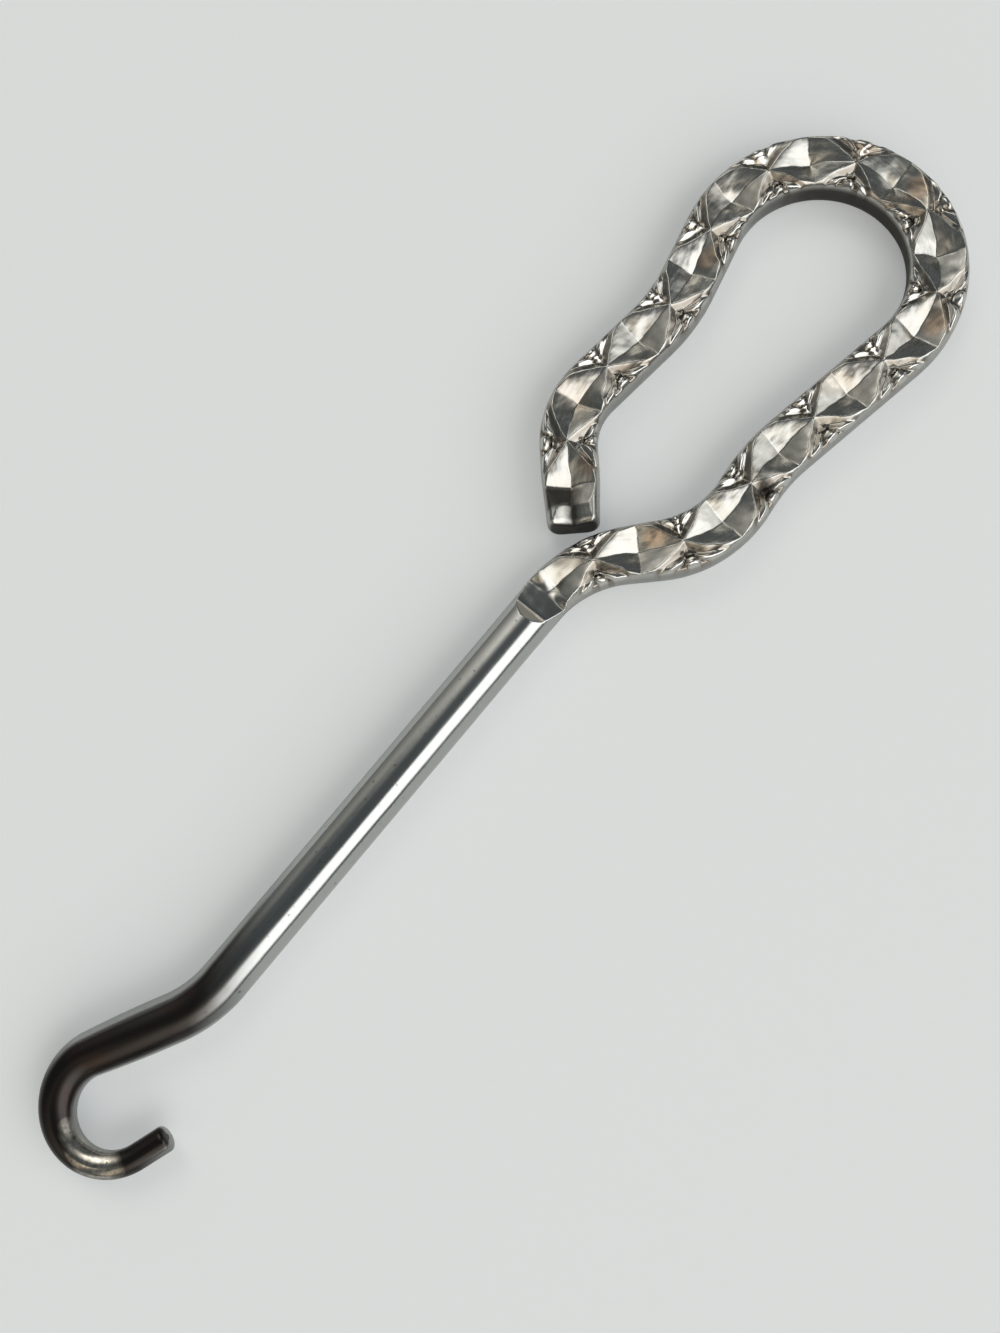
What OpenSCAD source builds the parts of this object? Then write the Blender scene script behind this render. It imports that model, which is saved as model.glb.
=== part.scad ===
// Button hook made of one plated steel wire: a tapered hook, a round shank and a die-struck loop handle.
// Millimetres. The wire lies along the XY plane, +X runs along the shank from hook to handle, +Z is up,
// and the origin is under the middle of the whole hook, on the surface that it lies on.

/* [Wire] */
// Diameter of the round wire
wire_d = 3.2; // [2.6:0.1:4]

/* [Hook] */
// Diameter of the wire at the tip
tip_d = 1.7; // [1.2:0.1:2.4]
// Rounding of the tip's rim
tip_round = 0.3; // [0.1:0.05:0.5]
// Straight length behind the tip
tip_len = 2.3; // [1:0.1:5]
// Centreline radius of the bowl
bowl_r = 3.5; // [3:0.1:6]
// Angle that the bowl turns through
bowl_turn = 189; // [150:1:205]
// Straight length of the neck
neck_len = 5.6; // [3:0.1:12]
// Centreline radius of the bend between neck and shank
neck_r = 8.5; // [4:0.5:15]
// Angle of the bend between neck and shank
neck_turn = 27; // [10:1:45]
// Length at the tip before the taper starts
point_len = 2; // [0.5:0.1:4]
// Length of full-size wire between the taper and the shank
full_len = 5; // [1:0.1:6]

/* [Shank] */
// Length of the round shank
shank_len = 29.8; // [15:0.1:60]

/* [Handle route] */
// Straight length between the shank and the first bend
lead_len = 1.8; // [1:0.1:4]
// Radius of the first bend, away from the loop
root_r = 8.5; // [6:0.5:14]
// Angle of the first bend
root_turn = 43; // [38:1:47]
// Straight length across the foot of the loop
root_len = 2.3; // [1.5:0.1:4]
// Radius of the elbow where the loop begins
elbow_r = 7.5; // [5:0.5:10]
// Angle of the elbow
elbow_turn = 50; // [45:1:54]
// Straight length above the elbow
arm_len = 0.7; // [0.5:0.1:3]
// Radius of the waist on the outgoing side
waist_r = 13.5; // [8:0.5:20]
// Angle of the waist on the outgoing side
waist_turn = 17; // [13:1:22]
// Straight length from the waist to the bow
side_len = 9.7; // [8:0.1:12]
// Radius of the bow at the top of the loop
bow_r = 7.7; // [7:0.1:10]
// Angle that the bow turns through
bow_turn = 204; // [200:1:208]
// Straight length after the bow
return_len = 4.1; // [2:0.1:6]
// Radius of the waist on the returning side
return_waist_r = 12.5; // [8:0.5:16]
// Angle of the waist on the returning side
return_waist_turn = 20; // [16:1:24]
// Straight length below the returning waist
heel_len = 5.5; // [4:0.1:7]
// Radius of the last bend
heel_r = 5.5; // [4:0.5:8]
// Angle of the last bend
heel_turn = 49; // [44:1:54]
// Straight length to the free end
end_len = 5.5; // [4:0.1:6]

/* [Struck section] */
// Width of the struck wire across its flanks
struck_w = 3.9; // [3.4:0.1:4.6]
// Height of the struck ridges above the underside
struck_h = 2.85; // [2.4:0.05:3.1]
// Height of the widest point of the flanks
bulge_h = 1.4; // [1:0.05:1.6]
// Half height of the oval that the flanks follow
flank_rise = 1.6; // [1.5:0.05:2]
// Power of that oval above the widest point: 2 is round and more is squarer
flank_power = 4; // [2:0.1:5]
// Power of that oval below the widest point
foot_power = 2.6; // [2:0.1:4]
// Length of the slope from the shank down to the struck face
shoulder_len = 0.9; // [0.6:0.1:1.5]
// Length over which the wire widens after the shank
spread_len = 13; // [4:0.5:20]
// Width of the wire at its free end
end_w = 3.5; // [3.2:0.1:4]
// Length over which the wire narrows to its free end
narrow_len = 4; // [3:0.5:12]
// Rounding of the free end's rim
end_round = 0.4; // [0.1:0.05:0.6]

/* [Struck pattern] */
// Length of one diamond along the wire
pitch = 5.95; // [4:0.05:8]
// Depth of a diamond's centre below the ridges
diamond_depth = 1; // [0.3:0.05:1.2]
// Share of the first half diamond that is a plain ramp
ramp_share = 0.64; // [0.2:0.02:0.9]
// Depth of the leaf panels beside each crossing of the ridges
panel_depth = 0.4; // [0.05:0.05:0.6]
// Share of that depth that a panel's floor rises by towards its outer edge
panel_rise = 0.75; // [0:0.05:1]

/* [Fineness] */
// Sides of the round hook
hook_sides = 28; // [16:4:48]
// Length of a step along the hook
hook_step = 0.45; // [0.3:0.05:1]

/* [Hidden] */

wire_r = wire_d / 2;
round_sides = 64;
tip_rings = 3;
shoulder_rings = 6;
arc_len_per_deg = PI / 180;

// Half of the struck face is five lateral cells wide, and a ridge crosses one cell per axial step,
// so that each ridge runs through the corners of the mesh.
half_cells = 5;
ridge_share = 0.41;
crease_share = 0.5;
phases = concat(
    [for (i = [0 : half_cells]) ridge_share * i / half_cells],
    [crease_share],
    [for (i = [half_cells : -1 : 1]) 1 - ridge_share * i / half_cells]
);
station_gap = 0.05;
cup_start = 0.45;

// The struck face takes this share of the wire's width. The flanks turn down from its edges to the flat
// underside, or to the foot's limiting angle where the wire is round.
face_share = 0.95;
upper_shares = [0.5, 0];
lower_shares = [0.25, 0.5, 0.75, 1];
foot_limit = -87;

// Flat list helpers
function flatten(lists) = [for (list = lists) for (item = list) item];
function clamp(value) = min(1, max(0, value));
function smooth(value) = let (t = clamp(value)) t * t * (3 - 2 * t);

// A leg is [length, turn to the left in degrees], and a pose is [x, y, heading in degrees]
function straight(length) = [length, 0];
function bend(turn, radius) = [abs(turn) * radius * arc_len_per_deg, turn];
function along(pose, leg, s) =
    leg[1] == 0
    ? [pose[0] + s * cos(pose[2]), pose[1] + s * sin(pose[2]), pose[2]]
    : let (
        radius = leg[0] / (leg[1] * arc_len_per_deg),
        heading = pose[2] + leg[1] * s / leg[0]
    )
    [
        pose[0] + radius * (sin(heading) - sin(pose[2])),
        pose[1] - radius * (cos(heading) - cos(pose[2])),
        heading
    ];
function route_len(legs, count) = count == 0 ? 0 : route_len(legs, count - 1) + legs[count - 1][0];
function route_pose(legs, start, s, index = 0) =
    index == len(legs) - 1 || s <= legs[index][0]
    ? along(start, legs[index], s)
    : route_pose(legs, along(start, legs[index], legs[index][0]), s - legs[index][0], index + 1);

// Places a section of [left offset, height] points at a pose
function placed(pose, section) =
    [for (p = section) [pose[0] - p[0] * sin(pose[2]), pose[1] + p[0] * cos(pose[2]), p[1]]];

// Hook, walked from the shank back to the tip
hook_legs = [
    bend(-neck_turn, neck_r),
    straight(neck_len),
    bend(bowl_turn, bowl_r),
    straight(tip_len)
];
hook_len = route_len(hook_legs, len(hook_legs));
hook_start = [0, 0, 180];
taper_len = hook_len - point_len - full_len;

function hook_radius(s) = (wire_d - (wire_d - tip_d) * smooth((s - full_len) / taper_len)) / 2;

// The rim of a cut end is rounded by rings that shrink along a quarter circle
function rim_inset(round, share) = round * (1 - sqrt(1 - share * share));

function hook_ring(s, radius) =
    placed(
        route_pose(hook_legs, hook_start, s),
        [for (i = [0 : hook_sides - 1])
            let (angle = 90 - 360 * i / hook_sides)
            [-radius * cos(angle), wire_r + radius * sin(angle)]]
    );

hook_body_len = hook_len - tip_round;
hook_steps = ceil(hook_body_len / hook_step);
hook_rings = concat(
    [for (i = [0 : hook_steps])
        let (s = hook_body_len * i / hook_steps)
        hook_ring(s, hook_radius(s))],
    [for (i = [1 : tip_rings])
        let (share = i / tip_rings)
        hook_ring(hook_body_len + tip_round * share, hook_radius(hook_len) - rim_inset(tip_round, share))]
);

// Handle, walked from the shank to the free end
handle_legs = [
    straight(lead_len),
    bend(-root_turn, root_r),
    straight(root_len),
    bend(elbow_turn, elbow_r),
    straight(arm_len),
    bend(-waist_turn, waist_r),
    straight(side_len),
    bend(bow_turn, bow_r),
    straight(return_len),
    bend(-return_waist_turn, return_waist_r),
    straight(heel_len),
    bend(heel_turn, heel_r),
    straight(end_len)
];
handle_len = route_len(handle_legs, len(handle_legs));
handle_start = [shank_len, 0, 0];

// The slope meets the first half diamond, which is a plain ramp at first and then turns into two facets
slope = (wire_d - struck_h) / shoulder_len + diamond_depth / (crease_share * pitch);
first_crease = crease_share * pitch;
ramp_len = ramp_share * first_crease;

// Depth of a diamond below the ridges at a distance along the wire, and across it from -1 to 1
function nearness(s) = let (turns = s / pitch, phase = turns - floor(turns)) min(phase, 1 - phase);
function sunk(s, across) =
    let (side = abs(across) * smooth((s - ramp_len) / (first_crease - ramp_len)))
    diamond_depth * max(0, nearness(s) - side * ridge_share) / crease_share;

// Depth of a leaf panel below the plain wire. Its floor rises from the cup's start to the outer edge.
// The two ends of the pattern have no panel.
last_crossing = pitch * floor((handle_len - ridge_share * pitch) / pitch);
function panelled(s) = s > first_crease && s < last_crossing + first_crease;
function panel_floor(across) =
    panel_depth * (1 - panel_rise * clamp((abs(across) - cup_start) / (1 - cup_start)));
function panel(s, across) =
    panelled(s) && abs(across) < 1
    ? panel_floor(across) * clamp((abs(across) - nearness(s) / ridge_share) * half_cells)
    : 0;

// Height of the die over the wire, with a slope where it starts
function die_height(s, across) = max(wire_d - slope * s, struck_h - sunk(s, across));

// The unstruck section is round, and the struck one is an oval, squarer above and flat below
function spread(s) = smooth(s / spread_len);
function narrowing(s) = smooth(1 - (handle_len - s) / narrow_len);
function half_width(s) =
    wire_r + (struck_w / 2 - wire_r) * spread(s) - (struck_w - end_w) / 2 * narrowing(s);
function oval_centre(s) = wire_r + (bulge_h - wire_r) * spread(s);
function oval_rise(s) = wire_r + (flank_rise - wire_r) * spread(s);
function oval_power(s) = 2 + (flank_power - 2) * spread(s);
function lower_power(s) = 2 + (foot_power - 2) * spread(s);

function handle_section(s, inset = 0) =
    let (
        half = half_width(s) - inset,
        rise = oval_rise(s) - inset,
        centre = oval_centre(s),
        power = oval_power(s),
        below = lower_power(s),
        edge = acos(pow(face_share, power / 2)),
        land = max(foot_limit, -asin(pow(min(1, centre / rise), below / 2))),
        top = [for (i = [-half_cells : half_cells])
            let (
                across = -i / half_cells,
                x = across * face_share,
                plain = centre + rise * pow(1 - pow(abs(x), power), 1 / power)
            )
            [half * x, min(plain, die_height(s, across) - inset) - panel(s, across)]],
        upper = [for (share = upper_shares)
            let (angle = share * edge)
            [-half * pow(cos(angle), 2 / power), centre + rise * pow(sin(angle), 2 / power)]],
        lower = [for (share = lower_shares)
            let (angle = -share * land)
            [
                -half * pow(cos(angle), 2 / below),
                max(inset, centre - rise * pow(sin(angle), 2 / below))
            ]],
        right = concat(upper, lower),
        foot = [[0, inset]],
        left = [for (i = [len(right) - 1 : -1 : 0]) [-right[i][0], right[i][1]]]
    )
    concat(top, right, foot, left);

function handle_ring(s, inset = 0) =
    placed(route_pose(handle_legs, handle_start, s), handle_section(s, inset));

// Stations along the handle: the slope, then every phase of the pattern up to the free end
handle_body_len = handle_len - end_round;
slope_stations = [for (i = [0 : shoulder_rings]) shoulder_len * i / shoulder_rings];
pattern_stations = [
    for (turn = [0 : floor(handle_len / pitch)])
        for (phase = phases)
            let (s = (turn + phase) * pitch)
            if (s > shoulder_len + station_gap && s < handle_body_len - station_gap) s
];
stations = concat(slope_stations, pattern_stations, [handle_body_len]);
handle_rings = concat(
    [for (s = stations) handle_ring(s)],
    [for (i = [1 : tip_rings])
        let (share = i / tip_rings)
        handle_ring(handle_body_len + end_round * share, rim_inset(end_round, share))]
);

// A quad of the struck face is split along the ridge that crosses it
function split_left(turns, cell) =
    let (phase = turns - floor(turns), leaving = phase < crease_share)
    cell < half_cells ? leaving : cell < 2 * half_cells ? !leaving : false;

// The middle of the bounding box, where the origin is
all_points = concat(flatten(hook_rings), flatten(handle_rings));
xs = [for (p = all_points) p[0]];
ys = [for (p = all_points) p[1]];
middle = [(min(xs) + max(xs)) / 2, (min(ys) + max(ys)) / 2, 0];

// Closed solid through rings of equal length; splits says which diagonal a quad takes
module loft(rings, splits) {
    count = len(rings[0]);
    last = len(rings) - 1;
    sides = [
        for (i = [0 : last - 1])
            for (j = [0 : count - 1])
                let (
                    a = i * count + j,
                    b = i * count + (j + 1) % count,
                    c = b + count,
                    d = a + count
                )
                each splits[i][j] ? [[a, d, b], [d, c, b]] : [[a, d, c], [a, c, b]]
    ];
    caps = [
        [for (j = [0 : count - 1]) j],
        [for (j = [count - 1 : -1 : 0]) last * count + j]
    ];
    polyhedron(points = flatten(rings), faces = concat(sides, caps));
}

// Tapered wire bent into the neck and the bowl
module hook() {
    splits = [for (i = [1 : len(hook_rings) - 1]) [for (j = [1 : hook_sides]) false]];
    color("dimgray")
        translate(-middle)
            loft(hook_rings, splits);
}

// Plain round wire between hook and handle
module shank() {
    color("lightgray")
        translate([0, 0, wire_r] - middle)
            rotate([0, 90, 0])
                cylinder(d = wire_d, h = shank_len, $fn = round_sides);
}

// Struck wire bent into an open loop with a waist
module handle() {
    count = len(handle_rings[0]);
    splits = [
        for (i = [0 : len(handle_rings) - 2])
            let (middle_s = i < len(stations) - 1 ? (stations[i] + stations[i + 1]) / 2 : handle_len)
            [for (j = [0 : count - 1]) split_left(middle_s / pitch, j)]
    ];
    color("silver")
        translate(-middle)
            loft(handle_rings, splits);
}

hook();
shank();
handle();
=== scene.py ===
"""Dresses the button hook: a tapered hook, a round shank and a struck handle, all of one plated wire."""

import logging
import math
from dataclasses import dataclass, field, fields
from enum import Enum
from typing import Any, Union

import bpy
from mathutils import Matrix, Vector


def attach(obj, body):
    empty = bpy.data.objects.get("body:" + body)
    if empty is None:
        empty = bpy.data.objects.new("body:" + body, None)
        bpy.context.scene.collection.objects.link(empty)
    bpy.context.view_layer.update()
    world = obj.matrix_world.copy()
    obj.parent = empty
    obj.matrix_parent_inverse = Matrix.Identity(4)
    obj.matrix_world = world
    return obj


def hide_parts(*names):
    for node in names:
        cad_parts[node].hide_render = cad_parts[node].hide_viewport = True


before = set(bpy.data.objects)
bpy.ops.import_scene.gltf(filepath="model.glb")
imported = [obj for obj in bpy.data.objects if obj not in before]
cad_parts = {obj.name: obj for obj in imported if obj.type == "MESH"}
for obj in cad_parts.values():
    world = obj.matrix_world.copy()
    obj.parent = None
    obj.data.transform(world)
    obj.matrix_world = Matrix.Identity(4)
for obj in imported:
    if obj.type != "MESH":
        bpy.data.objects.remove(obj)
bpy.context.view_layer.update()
LOG = logging.getLogger("button_hook")
MM = 0.001
DEGREES = 180.0 / math.pi
NOISE_MEAN = 0.5
WIRE_DIAMETER = 3.2
Colour = tuple[float, float, float]
Number = Union["Field", float]
Piece = Union["RoundWire", "StruckHandle"]
Pair = tuple[float, float]
Triple = tuple[float, float, float]
Four = tuple[float, float, float, float]


class Stretch(Enum):
    """The three stretches of the wire, by the name of the solid that each one stands for."""

    HOOK = "hook"
    SHANK = "shank"
    HANDLE = "handle"


class Split(Enum):
    """The diagonal along which a quad of a grid is cut in two."""

    FIRST = "FIXED"
    SECOND = "FIXED_ALTERNATE"


class Field:
    """A number that flows through a node tree, with plain arithmetic on it."""

    def __init__(self, tree: bpy.types.NodeTree, socket: bpy.types.NodeSocket) -> None:
        """Keeps the tree and the socket that the number comes from."""
        self.tree = tree
        self.socket = socket

    def math(self, operation: str, *others: Number) -> "Field":
        """Adds a Math node that takes this number first.

        Args:
            operation: Name of the node's operation.
            others: The node's further operands.

        Returns:
            The node's result.
        """
        node = self.tree.nodes.new("ShaderNodeMath")
        node.operation = operation
        for socket, value in zip(node.inputs, (self, *others)):
            if isinstance(value, Field):
                self.tree.links.new(value.socket, socket)
            else:
                socket.default_value = value
        return Field(self.tree, node.outputs[0])

    def __add__(self, other: Number) -> "Field":
        """This number plus another."""
        return self.math("ADD", other)

    __radd__ = __add__

    def __sub__(self, other: Number) -> "Field":
        """This number less another."""
        return self.math("SUBTRACT", other)

    def __rsub__(self, other: float) -> "Field":
        """A plain number less this one."""
        return self.math("MULTIPLY_ADD", -1.0, other)

    def __mul__(self, other: Number) -> "Field":
        """This number times another."""
        return self.math("MULTIPLY", other)

    __rmul__ = __mul__

    def __truediv__(self, other: Number) -> "Field":
        """This number over another."""
        return self.math("DIVIDE", other)

    def __rtruediv__(self, other: float) -> "Field":
        """A plain number over this one."""
        return self.math("POWER", -1.0) * other

    def __pow__(self, other: Number) -> "Field":
        """This number, held at or above zero, to a power."""
        return self.high(0.0).math("POWER", other)

    def __abs__(self) -> "Field":
        """This number without its sign."""
        return self.math("ABSOLUTE")

    def low(self, other: Number) -> "Field":
        """The lower of this number and another."""
        return self.math("MINIMUM", other)

    def high(self, other: Number) -> "Field":
        """The higher of this number and another."""
        return self.math("MAXIMUM", other)

    def held(self) -> "Field":
        """This number held between zero and one."""
        return self.high(0.0).low(1.0)

    def ramp(self, start: float, stop: float) -> "Field":
        """How far this number is on its way from start to stop, from zero to one."""
        return ((self - start) / (stop - start)).held()

    def within(self, start: float, full: float, until: float, stop: float) -> "Field":
        """One while this number is between full and until, fading to zero at start and at stop."""
        return self.ramp(start, full) * self.ramp(stop, until)

    def swing(self) -> "Field":
        """A noise less its mean."""
        return self - NOISE_MEAN

    def smooth(self) -> "Field":
        """This number held between zero and one and eased at both ends."""
        part = self.held()
        return part * part * (3.0 - 2.0 * part)

    def below(self, other: Number) -> "Field":
        """One where this number is less than another, else zero."""
        return self.math("LESS_THAN", other)

    def blend(self, first: Number, second: Number) -> "Field":
        """The first number where this one is zero, the second where it is one."""
        return self * (second - first) + first


def away(x: Field, y: Field, middle: Pair, size: Pair) -> Field:
    """Square of the distance of a place from a middle, in shares of a size."""
    off_x = (x - middle[0]) / size[0]
    off_y = (y - middle[1]) / size[1]
    return off_x * off_x + off_y * off_y


class Canvas:
    """A node tree in the making, for a shape or for a finish."""

    def __init__(self, tree: bpy.types.NodeTree) -> None:
        """Keeps the tree."""
        self.tree = tree

    def node(self, kind: str, **settings: Any) -> bpy.types.Node:
        """Adds a node and sets its properties.

        Args:
            kind: Blender's name of the node's type.
            settings: Properties of the node.

        Returns:
            The node.
        """
        made = self.tree.nodes.new(kind)
        for name, value in settings.items():
            setattr(made, name, value)
        return made

    def feed(self, socket: bpy.types.NodeSocket, value: Any) -> None:
        """Links a field or socket to a socket, or sets its plain value."""
        if isinstance(value, Field):
            self.tree.links.new(value.socket, socket)
        elif isinstance(value, bpy.types.NodeSocket):
            self.tree.links.new(value, socket)
        else:
            socket.default_value = value

    def vector(self, x: Number, y: Number, z: Number) -> bpy.types.NodeSocket:
        """A vector made of three numbers."""
        made = self.node("ShaderNodeCombineXYZ")
        for socket, value in zip(made.inputs, (x, y, z)):
            self.feed(socket, value)
        return made.outputs[0]

    def parts(self, vector: bpy.types.NodeSocket) -> list[Field]:
        """The three numbers of a vector."""
        made = self.node("ShaderNodeSeparateXYZ")
        self.feed(made.inputs[0], vector)
        return [Field(self.tree, socket) for socket in made.outputs]

    def noise(self, place: bpy.types.NodeSocket, scale: float, detail: float, seed: Number) -> Field:
        """Cloudy noise from about zero to one, with a mean of a half.

        Args:
            place: Coordinates that the noise is read at.
            scale: Clouds in one unit of the coordinates.
            detail: Number of finer layers.
            seed: Picks one noise out of many.

        Returns:
            The noise.
        """
        made = self.node("ShaderNodeTexNoise", noise_dimensions="4D")
        self.feed(made.inputs["Vector"], place)
        self.feed(made.inputs["W"], seed)
        made.inputs["Scale"].default_value = scale
        made.inputs["Detail"].default_value = detail
        return Field(self.tree, made.outputs[0])


class ShapeTree(Canvas):
    """A geometry node tree that wraps a grid of points round a path and gives it a finish."""

    POINT_NUMBERS = "FLOAT"
    MERGE_WITHIN = 2e-7
    SHARP_ANGLE = math.radians(62.0)

    def __init__(self, piece: Piece, ring_cells: int) -> None:
        """Opens the tree, with the piece's numbers as its named inputs.

        Args:
            piece: A piece with its numbers as fields, in millimetres where they are lengths.
            ring_cells: Cells of the grid round the wire.
        """
        super().__init__(bpy.data.node_groups.new(f"{piece.stretch.value}_shape", "GeometryNodeTree"))
        body = math.ceil((piece.route.run - piece.rim) / piece.step)
        named = {item.name.replace("_", " ").title(): getattr(piece, item.name) for item in fields(piece)}
        self.values: dict[str, Any] = {
            **{label: value for label, value in named.items() if isinstance(value, (float, int))},
            "Length": piece.route.run,
            "Step": piece.step,
            "Stations": body + piece.rim_rings + 2 * piece.lid_rings + 1,
            "Ring Points": ring_cells + 1,
            "Body Rings": body,
            "Seed": piece.SEED,
        }
        face = self.tree.interface
        face.new_socket("Path", in_out="INPUT", socket_type="NodeSocketGeometry")
        for label, value in self.values.items():
            kind = "NodeSocketInt" if isinstance(value, int) else "NodeSocketFloat"
            face.new_socket(label, in_out="INPUT", socket_type=kind)
        face.new_socket("Finish", in_out="INPUT", socket_type="NodeSocketMaterial")
        face.new_socket("Shape", in_out="OUTPUT", socket_type="NodeSocketGeometry")
        self.entry = self.node("NodeGroupInput")
        self.exit = self.node("NodeGroupOutput")
        self.shape: bpy.types.NodeSocket | None = None

    def size(self, label: str) -> Field:
        """A named input as a number."""
        return Field(self.tree, self.entry.outputs[label])

    def lay_grid(self) -> tuple[Field, Field, Field, Field]:
        """Starts the shape as a flat grid with a lid at each end and a rounded rim at the far end.

        Returns:
            The distance along the wire, the rim's inset, a lid's share, which is zero in its middle and one
            from its edge on, and the place round the wire from -1 to 1.
        """
        grid = self.node("GeometryNodeMeshGrid")
        grid.inputs["Size X"].default_value = 1.0
        grid.inputs["Size Y"].default_value = 1.0
        self.feed(grid.inputs["Vertices X"], self.entry.outputs["Stations"])
        self.feed(grid.inputs["Vertices Y"], self.entry.outputs["Ring Points"])
        self.shape = grid.outputs["Mesh"]
        x, y, _ = self.parts(self.node("GeometryNodeInputPosition").outputs[0])
        last = self.size("Stations") - 1.0
        station = ((x + 0.5) * last + 0.5).math("FLOOR")
        lids = self.size("Lid Rings")
        lid = (station / lids).held().low(((last - station) / lids).held())
        self.keep("lid", 1.0 - lid)
        place = station - lids
        rim = self.size("Rim")
        rim_turn = ((place - self.size("Body Rings")) / self.size("Rim Rings")).held() * (math.pi / 2)
        along = (place * self.size("Step")).high(0.0).low(self.size("Length") - rim)
        along = along + rim * rim_turn.math("SINE")
        return along, rim * (1.0 - rim_turn.math("COSINE")), lid, 2.0 * y

    def keep(self, label: str, value: Field) -> None:
        """Stores a number on the shape's points under a name."""
        made = self.node("GeometryNodeStoreNamedAttribute", data_type=self.POINT_NUMBERS, domain="POINT")
        self.feed(made.inputs["Geometry"], self.shape)
        made.inputs["Name"].default_value = label
        self.feed(made.inputs["Value"], value)
        self.shape = made.outputs[0]

    def kept(self, label: str) -> Field:
        """A number that was stored on the shape."""
        made = self.node("GeometryNodeInputNamedAttribute", data_type=self.POINT_NUMBERS)
        made.inputs["Name"].default_value = label
        return Field(self.tree, made.outputs[0])

    def wrap(self, along: Field, left: Field, height: Field) -> None:
        """Moves the grid's points to their places beside the path.

        Args:
            along: Distance along the path.
            left: Distance to the left of the path.
            height: Height above the path's plane.
        """
        curve = self.node("GeometryNodeMeshToCurve")
        self.feed(curve.inputs["Mesh"], self.entry.outputs["Path"])
        sample = self.node("GeometryNodeSampleCurve", mode="LENGTH")
        self.feed(sample.inputs["Curves"], curve.outputs[0])
        self.feed(sample.inputs["Length"], along * MM)
        px, py, _ = self.parts(sample.outputs["Position"])
        tx, ty, _ = self.parts(sample.outputs["Tangent"])
        place = self.vector(px - ty * left * MM, py + tx * left * MM, height * MM)
        made = self.node("GeometryNodeSetPosition")
        self.feed(made.inputs["Geometry"], self.shape)
        self.feed(made.inputs["Position"], place)
        self.shape = made.outputs[0]

    def close(self) -> None:
        """Merges the points that meet along the seam and at the two ends."""
        made = self.node("GeometryNodeMergeByDistance")
        self.feed(made.inputs["Geometry"], self.shape)
        made.inputs["Distance"].default_value = self.MERGE_WITHIN
        self.shape = made.outputs[0]

    def cut_quads(self, chosen: Field, split: Split) -> None:
        """Cuts the chosen quads along one diagonal."""
        made = self.node("GeometryNodeTriangulate", quad_method=split.value)
        self.feed(made.inputs["Mesh"], self.shape)
        self.feed(made.inputs["Selection"], chosen)
        self.shape = made.outputs[0]

    def shade(self, flat: Field) -> None:
        """Shades the shape smoothly, apart from its chosen flat faces."""
        for chosen, smooth in ((None, True), (flat, False)):
            made = self.node("GeometryNodeSetShadeSmooth", domain="FACE")
            self.feed(made.inputs[0], self.shape)
            if chosen is not None:
                self.feed(made.inputs["Selection"], chosen)
            made.inputs["Shade Smooth"].default_value = smooth
            self.shape = made.outputs[0]

    def end(self) -> None:
        """Shades the shape, flat on its lids, and ends the tree with real faces that carry the finish."""
        self.shade(self.kept("lid"))
        real = self.node("GeometryNodeRealizeInstances")
        self.feed(real.inputs[0], self.shape)
        finish = self.node("GeometryNodeSetMaterial")
        self.feed(finish.inputs["Geometry"], real.outputs[0])
        self.feed(finish.inputs["Material"], self.entry.outputs["Finish"])
        self.feed(self.exit.inputs[0], finish.outputs[0])

    def make(self, name: str, path: list[Vector], finish: bpy.types.Material) -> bpy.types.Object:
        """Runs the tree on a path and keeps the result as a plain mesh.

        Args:
            name: Name of the piece.
            path: Points of the wire's centreline, in metres.
            finish: Material of the piece.

        Returns:
            The piece, with no modifier left on it.
        """
        mesh = bpy.data.meshes.new(name)
        mesh.from_pydata(path, [(i, i + 1) for i in range(len(path) - 1)], [])
        piece = bpy.data.objects.new(name, mesh)
        bpy.context.scene.collection.objects.link(piece)
        modifier = piece.modifiers.new("shape", "NODES")
        modifier.node_group = self.tree
        wanted = {**self.values, "Finish": finish}
        for item in self.tree.interface.items_tree:
            if item.in_out == "INPUT" and item.name in wanted:
                modifier[item.identifier] = wanted[item.name]
        graph = bpy.context.evaluated_depsgraph_get()
        made = bpy.data.meshes.new_from_object(
            piece.evaluated_get(graph), preserve_all_data_layers=True, depsgraph=graph
        )
        made.set_sharp_from_angle(angle=self.SHARP_ANGLE)
        piece.modifiers.clear()
        piece.data = made
        made.name = name
        bpy.data.meshes.remove(mesh)
        return piece


@dataclass(frozen=True)
class Leg:
    """One leg of a bent wire: a straight, or a bend to the left where its turn is positive."""

    length: float = 0.0
    turn: float = 0.0
    radius: float = 0.0

    @property
    def run(self) -> float:
        """Length of the leg along the centreline."""
        return self.length or abs(math.radians(self.turn)) * self.radius


@dataclass(frozen=True)
class Route:
    """The centreline of a stretch of wire, from a start place and heading."""

    x: float
    y: float
    heading: float
    legs: tuple[Leg, ...]
    step: float = 0.05

    @property
    def run(self) -> float:
        """Length of the whole centreline."""
        return sum(leg.run for leg in self.legs)

    def points(self) -> list[Vector]:
        """Points along the centreline, in metres."""
        x, y, heading = self.x, self.y, math.radians(self.heading)
        found = [(x, y)]
        for leg in self.legs:
            steps = math.ceil(leg.run / self.step)
            stride = leg.run / steps
            swing = math.radians(leg.turn) / steps
            chord = stride * math.sin(swing / 2) / (swing / 2) if swing else stride
            for _ in range(steps):
                x += chord * math.cos(heading + swing / 2)
                y += chord * math.sin(heading + swing / 2)
                heading += swing
                found.append((x, y))
        return [Vector((px * MM, py * MM, 0.0)) for px, py in found]


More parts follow.
